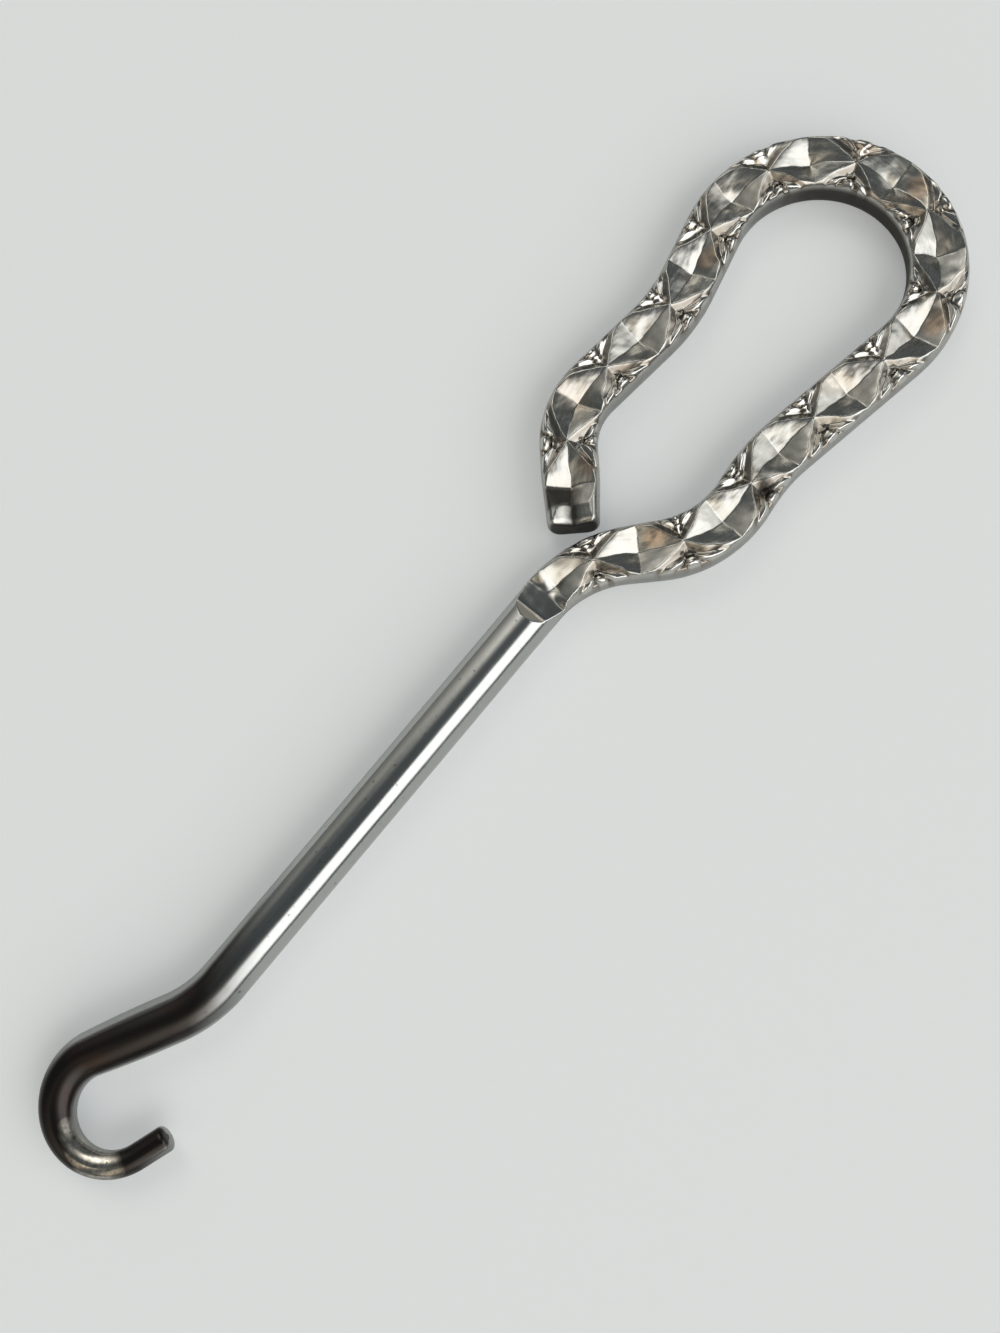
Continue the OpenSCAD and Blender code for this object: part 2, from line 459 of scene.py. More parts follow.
class FinishTree(Canvas):
    """The node tree of a metal finish."""

    def __init__(self, name: str) -> None:
        """Opens a material with one metallic shader."""
        self.material = bpy.data.materials.new(name)
        self.material.use_nodes = True
        super().__init__(self.material.node_tree)
        self.shader = self.tree.nodes["Principled BSDF"]
        self.shader.inputs["Metallic"].default_value = 1.0
        self.place = self.node("ShaderNodeTexCoord").outputs["Object"]

    def number(self, label: str) -> Field:
        """A number that the shape carries on its points."""
        made = self.node("ShaderNodeAttribute", attribute_name=label)
        return Field(self.tree, made.outputs["Fac"])

    def tint(self, share: Field, first: Any, second: Any) -> bpy.types.NodeSocket:
        """The first colour where the share is zero, the second where it is one."""
        made = self.node("ShaderNodeMix", data_type="RGBA")
        self.feed(made.inputs["Factor"], share)
        for socket, value in ((made.inputs[6], first), (made.inputs[7], second)):
            self.feed(socket, (*value, 1.0) if isinstance(value, tuple) else value)
        return made.outputs[2]

    def coat(self, where: Field, under: Any, coat: Four) -> bpy.types.NodeSocket:
        """A colour under a coat, whose fourth number is the most that it covers."""
        return self.tint(where * coat[3], under, coat[:3])

    def dress(self, colour: bpy.types.NodeSocket, roughness: Field, height: Field, depth: float) -> None:
        """Feeds the shader.

        Args:
            colour: Base colour.
            roughness: Roughness of the metal.
            height: Fine relief, from about zero to one.
            depth: Depth of that relief in metres.
        """
        self.feed(self.shader.inputs["Base Color"], colour)
        self.feed(self.shader.inputs["Roughness"], roughness)
        bump = self.node("ShaderNodeBump")
        bump.inputs["Distance"].default_value = depth
        self.feed(bump.inputs["Height"], height)
        self.feed(self.shader.inputs["Normal"], bump.outputs[0])


@dataclass(frozen=True)
class WireFinish:
    """Drawn wire: bright nickel on the shank that darkens to a brownish gunmetal on the hook. The hook's
    flanks are lightened towards nickel as a painted reflection, and a bright unplated patch on the bowl's
    upper side is a painted highlight.

    Places are in metres, and places around the wire in millimetres from its top. A noise is given as its
    scale, its number of finer layers and its seed.
    """

    nickel: Colour = (0.55, 0.56, 0.55)
    gunmetal: Colour = (0.050, 0.046, 0.044)
    russet: Four = (0.066, 0.040, 0.035, 0.6)
    speck: Four = (0.05, 0.045, 0.04, 0.7)
    # Painted highlight: a bright unplated patch on the bowl's upper side.
    bare: Colour = (0.95, 0.90, 0.80)
    streaks: Triple = (1.0, 4.0, 3.0)
    streaks_per_mm: Pair = (0.06, 3.0)
    clouds: Triple = (420.0, 3.0, 5.0)
    grains: Triple = (3200.0, 2.0, 7.0)
    dark_until: float = -0.0305
    bright_from: float = -0.0210
    dark_lean: float = 2.5
    lean_limit: float = 0.0016
    dark_fray: float = 0.4
    # Painted reflection: the hook's flanks are lightened towards nickel where they mirror the floor.
    bright_right: Pair = (-1.7, -2.2)
    bright_left: Pair = (0.85, 1.35)
    left_until: Pair = (-0.0395, -0.0365)
    side_share: Pair = (0.55, 0.45)
    russet_clouds: Pair = (0.5, 0.68)
    # Place, size, fray and height of the painted highlight on the bowl.
    bare_at: Pair = (-0.0408, -0.0008)
    bare_size: Pair = (0.0013, 0.0026)
    bare_core: float = 1.2
    bare_fray: float = 2.0
    bare_height: Pair = (0.0016, 0.0023)
    bare_share: Pair = (0.75, 1.6)
    speck_grains: Pair = (0.66, 0.76)
    gloss: float = 0.13
    streak_rough: float = 0.12
    streak_from: Pair = (0.4, 0.8)
    satin_rough: float = 0.14
    streak_height: float = 0.6
    grain_height: float = 0.4
    depth: float = 4e-6

    def make(self, stretch: Stretch) -> bpy.types.Material:
        """Builds the finish for one stretch of the wire."""
        tree = FinishTree(f"{stretch.value}_finish")
        x, y, z = tree.parts(tree.place)
        along = tree.number("along")
        around = tree.number("around")
        per_along, per_around = self.streaks_per_mm
        streaks = tree.noise(tree.vector(along * per_along, around * per_around, 0.0), *self.streaks)
        clouds = tree.noise(tree.place, *self.clouds)
        grains = tree.noise(tree.place, *self.grains)
        lean = y.high(-self.lean_limit).low(self.lean_limit) * self.dark_lean
        bright = (x - lean).ramp(self.dark_until, self.bright_from)
        bright = (bright + self.dark_fray * clouds.swing()).smooth()
        # Painted reflection: nickel on the hook's flanks, where they mirror the floor.
        left_flank_sheen = around.ramp(*self.bright_left) * x.ramp(*self.left_until)
        flank_sheen = around.ramp(*self.bright_right).high(left_flank_sheen)
        least, cloudy = self.side_share
        bright = bright.high(flank_sheen * (least + cloudy * clouds))
        colour = tree.tint(bright, self.gunmetal, self.nickel)
        colour = tree.coat(clouds.ramp(*self.russet_clouds) * (1.0 - bright), colour, self.russet)
        # Painted highlight: a bright unplated patch placed on the bowl's upper side, where the glow mirrors.
        bowl_sheen_mask = self.bare_core - away(x, y, self.bare_at, self.bare_size) + self.bare_fray * clouds.swing()
        bowl_sheen_mask = bowl_sheen_mask.held() * z.ramp(*self.bare_height)
        mean, grainy = self.bare_share
        colour = tree.tint((bowl_sheen_mask * (mean + grainy * grains.swing())).held(), colour, self.bare)
        colour = tree.coat(grains.ramp(*self.speck_grains), colour, self.speck)
        satin = (1.0 - bright) * (1.0 - bowl_sheen_mask)
        roughness = self.gloss + self.streak_rough * streaks.ramp(*self.streak_from)
        roughness = roughness + self.satin_rough * satin
        height = self.streak_height * streaks + self.grain_height * grains
        tree.dress(colour, roughness, height, self.depth)
        return tree.material


@dataclass(frozen=True)
class StruckFinish:
    """Struck wire: bright nickel, warm where the plate is thin, dark patina in the recesses, with painted
    shade on the flanks, on the bow's inner wall and near the free end, and painted highlights on the leaf
    tops and on the shoulder wall and its rims.

    Places are along the wire in millimetres, and across the struck face as shares of its half width, past
    one on the flanks. A noise is given as its scale, its number of finer layers and its seed.
    """

    shank: Colour = (0.55, 0.56, 0.55)
    nickel: Colour = (0.57, 0.565, 0.535)
    warm: Four = (0.55, 0.46, 0.365, 0.55)
    copper: Four = (0.70, 0.55, 0.43, 0.85)
    tarnish: Four = (0.29, 0.25, 0.205, 0.8)
    # Polished leaf tops, tinted brighter as a painted highlight.
    leaf: Four = (0.74, 0.73, 0.70, 0.85)
    # Painted shade: darker grey on the flanks.
    flank: Four = (0.27, 0.275, 0.27, 0.75)
    # Painted reflection: the shoulder wall cut by the die is lightened and warmed.
    sheared: Colour = (0.80, 0.745, 0.66)
    # Painted highlight along the rims of the shoulder wall.
    rim: Colour = (0.9, 0.88, 0.84)
    # Dark patina in the panel floors and on the end face, also used as painted shade on the bow's inner wall
    # and near the free end.
    patina: Four = (0.035, 0.03, 0.026, 0.85)
    clouds: Triple = (300.0, 3.0, 11.0)
    blots: Triple = (1300.0, 3.0, 13.0)
    grains: Triple = (5200.0, 2.0, 17.0)
    scratches: Triple = (1.0, 5.0, 19.0)
    scratches_per_mm: Pair = (0.5, 12.0)
    joined_over: float = 3.0
    warm_clouds: Pair = (0.52, 0.72)
    copper_at: tuple[Pair, ...] = (
        (10.1, 0.4),
        (33.9, -0.4),
        (43.4, -0.4),
        (47.6, -0.7),
        (61.3, 0.35),
        (79.0, 0.65),
    )
    copper_size: Pair = (0.9, 0.38)
    copper_fray: float = 1.8
    patch_core: float = 1.25
    bevel_ring: Four = (0.03, 0.3, 0.9, 1.0)
    bevel_clouds: Pair = (0.22, 0.45)
    bevel_fray: float = 0.6
    leaf_until: Pair = (1.08, 1.0)
    flank_from: Pair = (1.0, 1.3)
    floor_from: Pair = (0.88, 1.0)
    floor_fray: float = 0.8
    floor_least: Pair = (0.5, 0.9)
    stain_at: Pair = (18.0, -0.55)
    stain_size: Pair = (0.75, 0.4)
    stain_fray: float = 2.4
    end_from: Pair = (0.12, 0.02)
    # Painted shade on the bow's inner wall.
    shaded_wall: Four = (31.0, 36.0, 51.0, 58.0)
    wall_from: Pair = (1.0, 1.2)
    # Painted shade on the last facets before the free end.
    tip_shade: Four = (2.7, 2.4, 1.7, 1.35)
    tip_fray: float = 0.5
    tip_slant: float = 0.6
    tip_middle: Pair = (-0.35, -0.1)
    tip_right: Pair = (0.4, 0.05)
    tip_left: Pair = (-1.0, -0.9)
    step_until: Pair = (0.78, 0.7)
    rim_until: Pair = (0.9, 0.8)
    rim_gain: float = 4.0
    gloss: float = 0.15
    rubbed: float = 0.05
    blot_rough: float = 0.08
    blot_from: Pair = (0.4, 0.75)
    scratch_rough: float = 0.1
    scratch_from: Pair = (0.45, 0.75)
    dark_rough: float = 0.25
    step_rough: float = 0.32
    blot_height: float = 0.35
    grain_height: float = 0.3
    scratch_height: float = 0.35
    depth: float = 5e-6

    def make(self, stretch: Stretch, run: float) -> bpy.types.Material:
        """Builds the finish.

        Args:
            stretch: The stretch of the wire that wears it.
            run: Length of the stretch.

        Returns:
            The material.
        """
        tree = FinishTree(f"{stretch.value}_finish")
        along = tree.number("along")
        across = tree.number("across")
        recess = tree.number("recess")
        cut = tree.number("cut")
        leaf = tree.number("leaf") * abs(across).ramp(*self.leaf_until)
        clouds = tree.noise(tree.place, *self.clouds)
        blots = tree.noise(tree.place, *self.blots)
        grains = tree.noise(tree.place, *self.grains)
        per_along, per_across = self.scratches_per_mm
        scratches = tree.noise(tree.vector(along * per_along, across * per_across, 0.0), *self.scratches)
        worn = along.ramp(0.0, self.joined_over).smooth()

        colour = tree.coat(clouds.ramp(*self.warm_clouds), self.nickel, self.warm)
        for place in self.copper_at:
            patch = self.patch_core - away(along, across, place, self.copper_size)
            colour = tree.coat((patch + self.copper_fray * blots.swing()).held(), colour, self.copper)
        colour = tree.tint(worn, self.shank, colour)
        bevel = (clouds + self.bevel_fray * blots.swing()).ramp(*self.bevel_clouds)
        bevel = recess.within(*self.bevel_ring) * bevel
        colour = tree.coat(bevel * (1.0 - leaf), colour, self.tarnish)
        # Painted highlight: polished leaf tops tinted brighter.
        colour = tree.coat(leaf, colour, self.leaf)
        # Painted shade: darker grey on the flanks, past the struck face.
        colour = tree.coat(abs(across).ramp(*self.flank_from) * worn, colour, self.flank)

        dark = (recess.ramp(*self.floor_from) + blots.swing() * self.floor_fray).smooth()
        dark = dark * recess.ramp(*self.floor_least)
        stain = self.patch_core - away(along, across, self.stain_at, self.stain_size)
        dark = dark.high((stain + self.stain_fray * blots.swing()).held())
        dark = dark.high(along.ramp(*(run - distance for distance in self.end_from)))
        # Painted shade on the bow's inner wall and near the free end.
        wall = along.within(*self.shaded_wall) * across.ramp(*self.wall_from)
        dark = dark.high(wall).high(self.tip(along, across, blots, run))
        # Patina in the hollows, and painted shade on the bow's inner wall and near the free end.
        colour = tree.coat(dark, colour, self.patina)

        # Painted reflection on the shoulder wall, and painted highlights along its rims.
        step = along.ramp(*self.step_until) * cut
        rim = along.ramp(*self.rim_until) * (cut * (1.0 - cut) * self.rim_gain).held()
        colour = tree.tint(step, colour, self.sheared)
        colour = tree.tint(rim, colour, self.rim)
        rubbed = self.rubbed + self.blot_rough * blots.ramp(*self.blot_from)
        rubbed = rubbed + self.scratch_rough * scratches.ramp(*self.scratch_from)
        roughness = self.gloss + worn * rubbed * (1.0 - leaf)
        roughness = roughness + self.dark_rough * dark + self.step_rough * step
        height = self.blot_height * blots + self.grain_height * grains + self.scratch_height * scratches
        tree.dress(colour, roughness, height, self.depth)
        return tree.material

    def tip(self, along: Field, across: Field, blots: Field, run: float) -> Field:
        """Painted shade near the free end of a stretch of the given run, with edges that blots fray."""
        tip_in, tip_full, tip_until, tip_out = (run - distance for distance in self.tip_shade)
        frayed_along = along + self.tip_fray * blots.swing() + self.tip_slant * across
        frayed_across = across + self.tip_fray * blots.swing()
        reach = frayed_along.ramp(tip_out, tip_until).high(frayed_across.ramp(*self.tip_middle))
        shown = along.ramp(tip_in, tip_full) * reach
        return shown * frayed_across.ramp(*self.tip_right) * across.ramp(*self.tip_left)


@dataclass
class RoundWire:
    """A stretch of round wire on a route, which may taper and may have a rounded tip."""

    RING_CELLS = 96
    SEED = 21
    DENTS_PER_MM = 0.45
    FADE_LENGTH = 1.5

    stretch: Stretch
    slot: str
    route: Route
    start_diameter: float = WIRE_DIAMETER
    end_diameter: float = WIRE_DIAMETER
    taper_from: float = 0.0
    taper_length: float = 1.0
    rim: float = 0.0
    sense: float = 1.0
    step: float = 0.1
    axis_height: float = WIRE_DIAMETER / 2
    wear: float = 0.012
    lid_rings: int = 2
    rim_rings: int = 4
    finish: WireFinish = field(default_factory=WireFinish)

    def shape(self) -> ShapeTree:
        """The node tree of the wire: a round section that follows the route."""
        tree = ShapeTree(self, self.RING_CELLS)
        size = tree.size
        along, inset, lid, turn = tree.lay_grid()
        taper = ((along - size("Taper From")) / size("Taper Length")).smooth()
        radius = taper.blend(size("Start Diameter"), size("End Diameter")) * 0.5 - inset
        angle = turn * math.pi
        sine = angle.math("SINE")
        cosine = angle.math("COSINE")
        spot = tree.vector(along * self.DENTS_PER_MM, sine, cosine)
        dents = tree.noise(spot, 1.0, 2.0, size("Seed"))
        fade = (along / self.FADE_LENGTH).smooth()
        fade = fade * ((size("Length") - along) / self.FADE_LENGTH).smooth()
        radius = (radius - size("Wear") * dents * fade) * lid
        tree.keep("along", along * size("Sense"))
        tree.keep("around", turn * size("Sense") * (size("Start Diameter") * (math.pi / 2)))
        tree.wrap(along, radius * sine, size("Axis Height") + radius * cosine)
        tree.close()
        tree.end()
        return tree

    def build(self) -> bpy.types.Object:
        """Makes the piece and hands it to the frame."""
        piece = self.shape().make(self.stretch.value, self.route.points(), self.finish.make(self.stretch))
        return hand_over(piece, self.stretch)


@dataclass(frozen=True)
class Leaf:
    """One leaf of the struck spray, in a panel's own millimetres: along the wire, and out from its axis."""

    DOME_POWER = 0.7
    ROOT_HEIGHT = 0.35
    RIB_REACH = 0.08
    LEAST_HALF = 1e-4

    root: Pair
    tip: Pair
    width: float
    height: float
    bow: float = 0.0
    tilt: float = 0.0
    rib: float = 0.0
    point: float = 1.0

    def relief(self, along: Field, out: Field) -> Field:
        """Height of the leaf above the panel's floor.

        Args:
            along: Place along the wire from the crossing of the ridges.
            out: Distance out from the wire's axis.

        Returns:
            The height, zero outside the leaf.
        """
        reach_along = self.tip[0] - self.root[0]
        reach_out = self.tip[1] - self.root[1]
        reach = math.hypot(reach_along, reach_out)
        from_along = along - self.root[0]
        from_out = out - self.root[1]
        part = (from_along * reach_along + from_out * reach_out) / (reach * reach)
        fullest = 1.0 / (1.0 + self.point)
        peak = fullest * (1.0 - fullest) ** self.point
        swell = part.high(0.0) * (1.0 - part) ** self.point / peak
        aside = (from_out * reach_along - from_along * reach_out) / reach - self.bow * swell
        half = swell ** 0.5 * (0.5 * self.width) + self.LEAST_HALF
        spread = aside / half
        rounded = (1.0 - spread * spread) ** self.DOME_POWER
        rising = self.ROOT_HEIGHT + (1.0 - self.ROOT_HEIGHT) * part
        groove = (1.0 - abs(aside) / self.RIB_REACH).high(0.0) * swell * self.rib
        return (rounded * rising * (1.0 + self.tilt * spread) * self.height - groove).high(0.0)


@dataclass
class StruckHandle:
    """The struck and bent end of the wire: sunk diamonds, and panels of leaves beside their corners.

    Lengths are in millimetres. The numbers that are fields are also inputs of its tree, and those in
    capitals are not.
    """

    SEED = 34
    HALF_PITCH_CELLS = 40
    RIDGE_CELLS = 33
    DRIFT_SCALE = 0.6
    LEAF_DRIFT_SCALE = 1.1
    RIPPLE_SCALE = 0.9
    RIPPLE_TURNS = 4.0
    CUP = (0.45, 0.95)
    RIM_REACH = 1.04
    LEAF_START = 0.35
    LAST_FADE = 0.6
    CUT_SHOWN = 0.1

    stretch: Stretch
    slot: str
    route: Route
    wire_diameter: float = WIRE_DIAMETER
    struck_width: float = 3.9
    struck_height: float = 2.85
    bulge_height: float = 1.4
    flank_rise: float = 1.6
    flank_power: float = 4.0
    foot_power: float = 2.6
    shoulder_length: float = 0.72
    spread_length: float = 13.0
    end_width: float = 3.5
    narrow_length: float = 4.0
    rim: float = 0.4
    pitch: float = 5.95
    diamond_depth: float = 1.0
    hollow: float = 1.2
    ramp_length: float = 2.1
    panel_depth: float = 0.44
    panel_rise: float = 0.6
    bevel_width: float = 0.52
    rim_share: float = 0.14
    face_share: float = 0.95
    dents: float = 0.08
    wander: float = 0.25
    leaf_wander: float = 0.26
    leaf_proud: float = 0.06
    leaf_clear: float = 0.22
    skin: float = 0.012
    burr: float = 0.04
    burr_width: float = 0.09
    dish_length: float = 1.3
    dish_slope: float = 0.07
    dish_share: float = 0.26
    face_cells: int = 33
    flank_cells: int = 8
    foot_cells: int = 2
    lid_rings: int = 3
    rim_rings: int = 4
    leaves: tuple[Leaf, ...] = (
        Leaf((0.0, 0.52), (0.0, 1.06), 0.95, 0.4, point=0.25),
        Leaf((0.3, 0.98), (1.95, 1.86), 0.74, 0.4, 0.08, 0.3, 0.05),
        Leaf((-0.32, 0.98), (-1.92, 1.87), 0.74, 0.4, -0.08, -0.3, 0.05),
        Leaf((0.0, 1.14), (0.03, 1.92), 0.84, 0.36, point=0.5),
    )
    finish: StruckFinish = field(default_factory=StruckFinish)

    @property
    def step(self) -> float:
        """Length of one step of the grid along the wire."""
        return self.pitch / 2 / self.HALF_PITCH_CELLS

    @property
    def last_panel(self) -> float:
        """Place of the last crossing that has leaf panels, away from the free end."""
        return (math.ceil(self.route.run / self.pitch) - 1) * self.pitch

    @property
    def ridge_share(self) -> float:
        """How far along a pitch a ridge has reached the face's edge."""
        return 0.5 * self.RIDGE_CELLS / self.HALF_PITCH_CELLS

    def drift(self, tree: ShapeTree, spot: bpy.types.NodeSocket, scale: float, number: float) -> Field:
        """A slow wander over the struck face, from about -1 to 1. Each number gives another one."""
        return tree.noise(spot, scale, 1.0, tree.size("Seed") + number).swing() * 2.0

    def relief(self, tree: ShapeTree, along: Field, side: Field, hand: Field) -> tuple[Field, Field]:
        """The die's relief, below the ridges in the diamonds and below the plain wire in the leaf panels.

        Args:
            tree: The tree in the making.
            along: Distance along the wire.
            side: Distance from the wire's axis as a share of the struck face.
            hand: One on the left of the axis and minus one on its right.

        Returns:
            The depth of a diamond and the depth of a panel, each zero outside its own area.
        """
        size = tree.size
        edge = self.face_share * self.struck_width / 2
        ridge_run = self.ridge_share * self.pitch
        slant = math.hypot(edge, ridge_run)
        across = side * hand * edge
        spot = tree.vector(along, across, 0.0)
        wander = size("Wander")
        turns = (along + wander * self.drift(tree, spot, self.DRIFT_SCALE, 1.0)) / size("Pitch")
        out = abs(across + wander * self.drift(tree, spot, self.DRIFT_SCALE, 2.0))
        phase = turns - turns.math("FLOOR")
        near = phase.low(1.0 - phase)
        dished = along - size("Length") + size("Dish Length")
        near = near.high(dished * size("Dish Slope") + size("Dish Share"))
        ahead = (phase - 0.5).below(0.0).blend(phase - 1.0, phase) * self.pitch
        inside = (out * ridge_run - abs(ahead) * edge) / slant

        leaf_wander = size("Leaf Wander")
        leaf_along = ahead + leaf_wander * self.drift(tree, spot, self.LEAF_DRIFT_SCALE, 3.0)
        leaf_out = out + leaf_wander * self.drift(tree, spot, self.LEAF_DRIFT_SCALE, 4.0)
        spray = self.leaves[0].relief(leaf_along, leaf_out)
        for leaf in self.leaves[1:]:
            spray = spray.high(leaf.relief(leaf_along, leaf_out))
        bevel = size("Bevel Width")
        spray = spray * (inside / bevel - self.LEAF_START).held()
        floor = size("Panel Depth") * (1.0 - size("Panel Rise") * (out / edge).ramp(*self.CUP))
        panel = (floor * (inside / bevel).held()).low((floor - spray).high(0.0 - size("Leaf Proud")))
        panel = panel * ((self.RIM_REACH - out / edge) / size("Rim Share")).smooth()
        last = self.last_panel + ridge_run
        panelled = along.within(ridge_run, self.pitch - ridge_run, last, last + self.LAST_FADE)
        panel = panel * panelled
        tree.keep("leaf", (spray / size("Leaf Clear")).held() * panelled)
        tree.keep("recess", panel / floor)

        ramp = size("Ramp Length")
        lead = ((along - ramp) / (size("Pitch") * 0.5 - ramp)).smooth()
        sunk = ((near - out / edge * lead * self.ridge_share) * 2.0) ** size("Hollow")
        return sunk * size("Diamond Depth"), panel

    def shape(self) -> ShapeTree:
        """The node tree of the handle: a struck section that follows the route."""
        half_ring = self.face_cells + self.flank_cells + self.foot_cells
        tree = ShapeTree(self, 2 * half_ring)
        size = tree.size
        along, inset, lid, turn = tree.lay_grid()
        hand = turn.math("SIGN")

        wire_r = size("Wire Diameter") * 0.5
        spread = (along / size("Spread Length")).smooth()
        narrowing = (1.0 - (size("Length") - along) / size("Narrow Length")).smooth()
        half = spread.blend(wire_r, size("Struck Width") * 0.5)
        half = half - narrowing * (size("Struck Width") - size("End Width")) * 0.5
        half = half - size("Skin") * spread - inset
        rise = spread.blend(wire_r, size("Flank Rise")) - inset
        centre = spread.blend(wire_r, size("Bulge Height"))
        power = spread.blend(2.0, size("Flank Power"))
        below = spread.blend(2.0, size("Foot Power"))

        cell = abs(turn) * half_ring
        side = (cell / size("Face Cells")).low(1.0)
        flank = ((cell - size("Face Cells")) / size("Flank Cells")).held()
        foot = ((cell - size("Face Cells") - size("Flank Cells")) / size("Foot Cells")).held()
        on_flank = size("Face Cells").below(cell - 0.5)

        sunk, panel = self.relief(tree, along, side, hand)
        slope = (size("Wire Diameter") - size("Struck Height")) / size("Shoulder Length")
        slope = slope + 2.0 * size("Diamond Depth") / size("Pitch")
        spot = tree.vector(along, turn * self.RIPPLE_TURNS, 0.0)
        ripple = tree.noise(spot, self.RIPPLE_SCALE, 2.0, size("Seed"))
        ripple = ripple.swing() * size("Dents") * spread
        die = (size("Wire Diameter") - slope * along).high(size("Struck Height") - sunk + ripple)
        burr_off = (along - size("Shoulder Length")) / size("Burr Width")
        die = die + size("Burr") * (burr_off * burr_off * -1.0).math("EXPONENT")
        face_x = side * size("Face Share")
        plain = centre + rise * (1.0 - face_x ** power) ** (1.0 / power)
        face_z = plain.low(die - inset) - panel
        tree.keep("cut", (plain - die).ramp(0.0, self.CUT_SHOWN) * (1.0 - on_flank))

        edge_angle = (size("Face Share") ** (power * 0.5)).math("ARCCOSINE")
        land_angle = ((centre / rise).low(1.0) ** (below * 0.5)).math("ARCSINE")
        angle = edge_angle - flank * (edge_angle + land_angle)
        sine = angle.math("SINE")
        bend = 2.0 / angle.below(0.0).blend(power, below)
        flank_x = angle.math("COSINE") ** bend * (1.0 - foot)
        flank_z = centre + rise * sine.math("SIGN") * abs(sine) ** bend

        left = on_flank.blend(face_x, flank_x) * half * hand * lid
        height = on_flank.blend(face_z, flank_z).high(inset)
        height = centre + (height - centre) * lid

        tree.keep("along", along)
        tree.keep("across", hand * (side + flank))
        phase = along / size("Pitch")
        phase = phase - phase.math("FLOOR")
        tree.keep("leaving", phase.below(0.5).blend(-1.0, 1.0) * hand)
        tree.wrap(along, left, height)
        tree.close()
        leaving = tree.kept("leaving")
        tree.cut_quads((leaving * -1.0).below(0.0), Split.FIRST)
        tree.cut_quads(leaving.below(0.5), Split.SECOND)
        tree.end()
        return tree

    def build(self) -> bpy.types.Object:
        """Makes the piece and hands it to the frame."""
        finish = self.finish.make(self.stretch, self.route.run)
        piece = self.shape().make(self.stretch.value, self.route.points(), finish)
        return hand_over(piece, self.stretch)


def hand_over(piece: bpy.types.Object, stretch: Stretch) -> bpy.types.Object:
    """Lets a piece ride on the one body in place of its solid.

    Args:
        piece: The dressed piece.
        stretch: The stretch that it stands for.

    Returns:
        The piece, under a name of its own.
    """
    piece.name = f"{stretch.value}_wire"
    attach(piece, "root")
    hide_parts(stretch.value)
    LOG.info("%s: %d faces", piece.name, len(piece.data.polygons))
    return piece


@dataclass(frozen=True)
class Glow:
    """A soft round spot of the room overhead, placed by the level parts of its direction."""

    colour: Colour
    middle: Pair
    size: Pair

    def share(self, x: Field, y: Field) -> Field:
        """One at the spot's middle, fading to zero all round."""
        return (away(x, y, self.middle, self.size) * -1.0).math("EXPONENT")


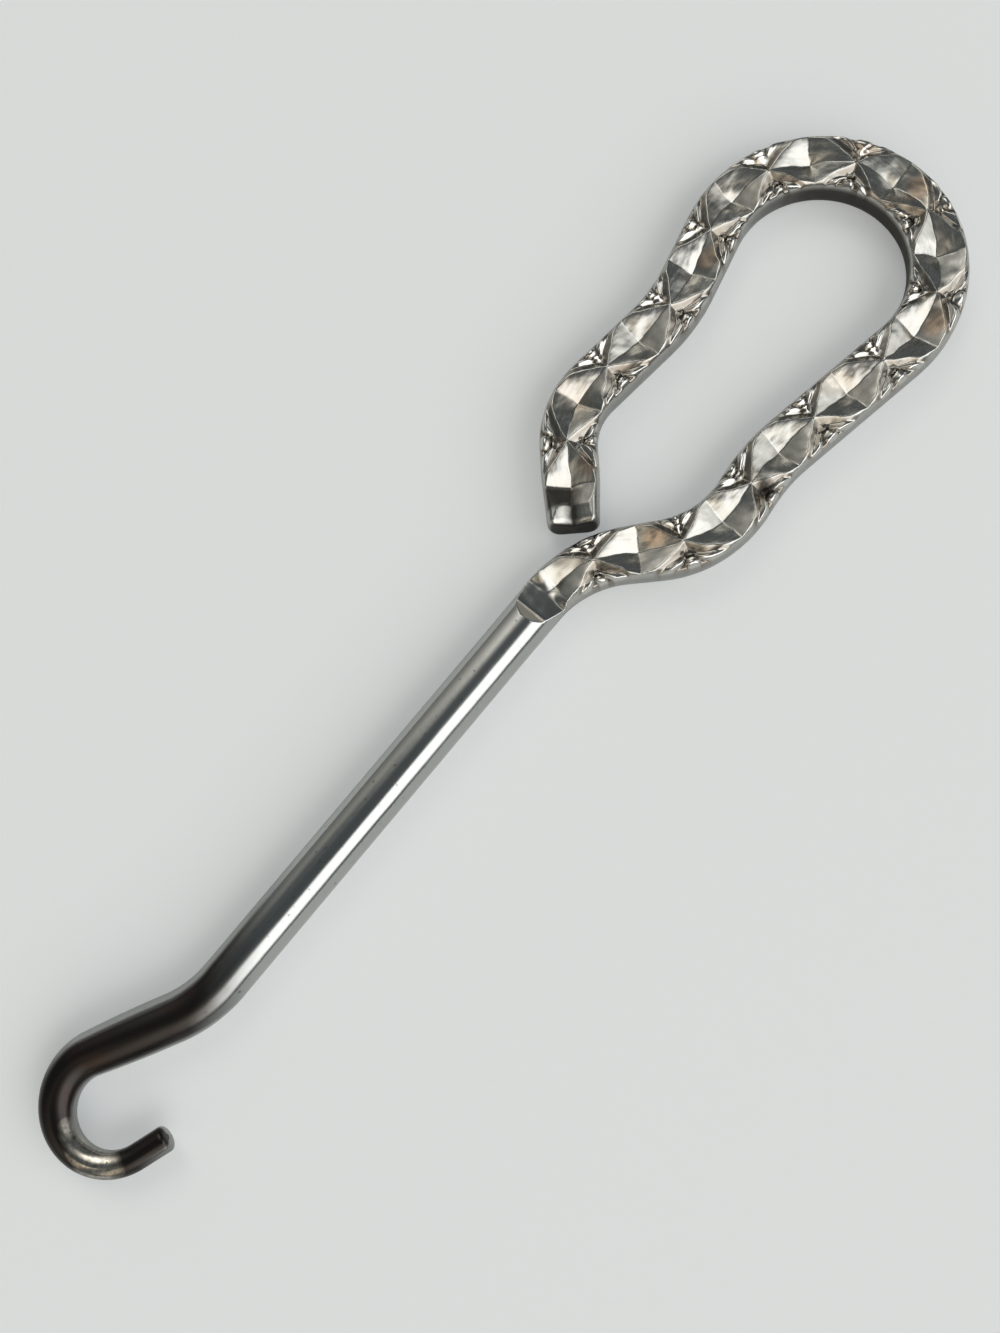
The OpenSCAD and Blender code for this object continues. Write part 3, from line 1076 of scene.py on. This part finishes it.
@dataclass(frozen=True)
class Studio:
    """Pale table, one large soft lamp, a soft room, and the camera of the photograph.

    Lengths are in metres, apart from the table's drop in millimetres, and angles are in degrees.
    """

    table: Colour = (0.73, 0.755, 0.765)
    table_size: float = 3.0
    table_drop: float = 0.02
    table_rough: float = 0.9
    table_gloss: float = 0.1
    table_glow: float = 0.32
    mirror_share: float = 0.3
    lamp_size: Pair = (1.6, 0.8)
    lamp_tilt: float = 55.0
    lamp_turn: float = -92.0
    lamp_distance: float = 1.0
    lamp_power: float = 3.0
    dusk: Colour = (0.083, 0.094, 0.098)
    panes: Colour = (1.15, 1.15, 1.12)
    panes_tilt: Pair = (31.0, 77.0)
    panes_turn: Pair = (-160.0, -22.0)
    panes_back: Pair = (140.0, 180.0)
    panes_edge: float = 9.0
    wood: Colour = (0.92, 0.82, 0.67)
    wood_turn: Pair = (-110.0, -140.0)
    wood_back: Pair = (0.0, 90.0)
    glows: tuple[Glow, ...] = (
        Glow((1.6, 1.54, 1.4), (0.24, 0.5), (0.17, 0.26)),
        Glow((1.5, 1.45, 1.35), (0.44, 0.5), (0.12, 0.24)),
        Glow((0.29, 0.27, 0.235), (0.03, 0.82), (0.27, 0.2)),
    )
    glows_above: Pair = (0.0, 0.2)
    wall: Colour = (0.13, 0.135, 0.14)
    wall_top: Pair = (0.3, 0.1)
    camera_at: Triple = (-0.007911, -0.017715, 0.084)
    camera_right: Triple = (0.64162, -0.75979, -0.10512)
    camera_up: Triple = (0.76288, 0.6179, 0.19033)
    lens: float = 35.109
    sensor: float = 36.0
    clip: Pair = (0.005, 20.0)

    def lay_table(self) -> bpy.types.Object:
        """A plain pale table just under the hook."""
        half = self.table_size / 2
        drop = -self.table_drop * MM
        mesh = bpy.data.meshes.new("table")
        corners = [(-half, -half, drop), (half, -half, drop), (half, half, drop), (-half, half, drop)]
        mesh.from_pydata(corners, [], [(0, 1, 2, 3)])
        table = bpy.data.objects.new("table", mesh)
        bpy.context.scene.collection.objects.link(table)
        cloth = bpy.data.materials.new("table_cloth")
        cloth.use_nodes = True
        shader = cloth.node_tree.nodes["Principled BSDF"]
        shader.inputs["Base Color"].default_value = (*self.table, 1.0)
        shader.inputs["Roughness"].default_value = self.table_rough
        shader.inputs["Specular IOR Level"].default_value = self.table_gloss
        shader.inputs["Emission Color"].default_value = (*self.table, 1.0)
        tree = Canvas(cloth.node_tree)
        rays = tree.node("ShaderNodeLightPath")
        seen = Field(tree.tree, rays.outputs["Is Camera Ray"])
        mirrored = Field(tree.tree, rays.outputs["Is Glossy Ray"])
        shown = seen.high(mirrored * self.mirror_share)
        tree.feed(shader.inputs["Emission Strength"], shown * self.table_glow)
        mesh.materials.append(cloth)
        return table

    def hang_lamp(self) -> bpy.types.Object:
        """One large lamp that leans over the hook from the right of the shank."""
        data = bpy.data.lights.new("window_lamp", "AREA")
        data.shape = "RECTANGLE"
        data.size, data.size_y = self.lamp_size
        data.energy = self.lamp_power
        lamp = bpy.data.objects.new("window_lamp", data)
        lean = Matrix.Rotation(math.radians(self.lamp_tilt), 4, "X")
        swing = Matrix.Rotation(math.radians(self.lamp_turn + 90.0), 4, "Z")
        lamp.matrix_world = swing @ lean @ Matrix.Translation((0.0, 0.0, self.lamp_distance))
        bpy.context.scene.collection.objects.link(lamp)
        return lamp

    def paint_room(self) -> None:
        """Soft room light: dusk overhead, pale panes on the lamp's side, and warm glows on the far side."""
        world = bpy.data.worlds.new("room")
        world.use_nodes = True
        tree = Canvas(world.node_tree)
        x, y, z = tree.parts(tree.node("ShaderNodeTexCoord").outputs["Generated"])
        tilt = z.math("ARCCOSINE") * DEGREES
        turn = y.math("ARCTAN2", x) * DEGREES
        edge = self.panes_edge
        start, stop = self.panes_turn
        paned = turn.ramp(start - edge, start + edge).smooth() * turn.ramp(stop + edge, stop - edge).smooth()
        paned = paned.high(turn.ramp(*self.panes_back).smooth())
        high, low = self.panes_tilt
        paned = paned * tilt.ramp(high - edge / 2, high + edge / 2).smooth()
        paned = paned * tilt.ramp(low + edge / 2, low - edge / 2).smooth()
        woody = turn.ramp(*self.wood_turn).smooth().high(turn.ramp(*self.wood_back))
        walled = z.ramp(*self.wall_top).smooth()
        above = z.ramp(*self.glows_above)
        shares = [glow.share(x, y) * above for glow in self.glows]
        background = tree.tree.nodes["Background"]
        channels = []
        for part, (dusk, wall, panes, wood) in enumerate(zip(self.dusk, self.wall, self.panes, self.wood)):
            lit = paned.blend(walled.blend(dusk, wall), woody.blend(panes, wood))
            for share, glow in zip(shares, self.glows):
                lit = lit + share * glow.colour[part]
            channels.append(lit)
        mixed = tree.node("ShaderNodeCombineColor")
        for socket, value in zip(mixed.inputs, channels):
            tree.feed(socket, value)
        tree.feed(background.inputs["Color"], mixed.outputs[0])
        bpy.context.scene.world = world

    def set_camera(self) -> bpy.types.Object:
        """The camera at the photograph's place and angle."""
        data = bpy.data.cameras.new("camera")
        data.lens = self.lens
        data.sensor_width = self.sensor
        data.clip_start, data.clip_end = self.clip
        camera = bpy.data.objects.new("camera", data)
        right = Vector(self.camera_right).normalized()
        up = Vector(self.camera_up).normalized()
        back = right.cross(up)
        axes = Matrix((right, up, back)).transposed().to_4x4()
        camera.matrix_world = Matrix.Translation(self.camera_at) @ axes
        bpy.context.scene.collection.objects.link(camera)
        bpy.context.scene.camera = camera
        return camera

    def build(self) -> None:
        """Sets the whole stage."""
        self.set_camera()
        self.lay_table()
        self.hang_lamp()
        self.paint_room()
        bpy.context.scene.view_settings.view_transform = "Standard"


SHANK_START = (-27.6949, -0.0622)
SHANK_LEN = 29.8
HOOK_LEGS = (
    Leg(turn=-27.0, radius=8.5),
    Leg(length=5.6),
    Leg(turn=189.0, radius=3.5),
    Leg(length=2.3),
)
HANDLE_LEGS = (
    Leg(length=1.8),
    Leg(turn=-43.0, radius=8.5),
    Leg(length=2.3),
    Leg(turn=50.0, radius=7.5),
    Leg(length=0.7),
    Leg(turn=-17.0, radius=13.5),
    Leg(length=9.7),
    Leg(turn=204.0, radius=7.7),
    Leg(length=4.1),
    Leg(turn=-20.0, radius=12.5),
    Leg(length=5.5),
    Leg(turn=49.0, radius=5.5),
    Leg(length=5.5),
)
POINT_LEN = 2.0
FULL_LEN = 5.0
TIP_DIAMETER = 1.7
TIP_RIM = 0.3


def main() -> None:
    """Builds the stage and then the three stretches of the wire."""
    logging.basicConfig(level=logging.INFO, format="%(name)s: %(message)s")
    Studio().build()
    hook_route = Route(*SHANK_START, 180.0, HOOK_LEGS)
    shank_route = Route(*SHANK_START, 0.0, (Leg(length=SHANK_LEN),))
    handle_route = Route(SHANK_START[0] + SHANK_LEN, SHANK_START[1], 0.0, HANDLE_LEGS)
    pieces = (
        RoundWire(
            Stretch.HOOK,
            "hook_wire",
            hook_route,
            end_diameter=TIP_DIAMETER,
            taper_from=FULL_LEN,
            taper_length=hook_route.run - POINT_LEN - FULL_LEN,
            rim=TIP_RIM,
            sense=-1.0,
        ),
        RoundWire(Stretch.SHANK, "shank_wire", shank_route),
        StruckHandle(Stretch.HANDLE, "struck_wire", handle_route),
    )
    for piece in pieces:
        piece.build()


if __name__ == "__main__":
    main()
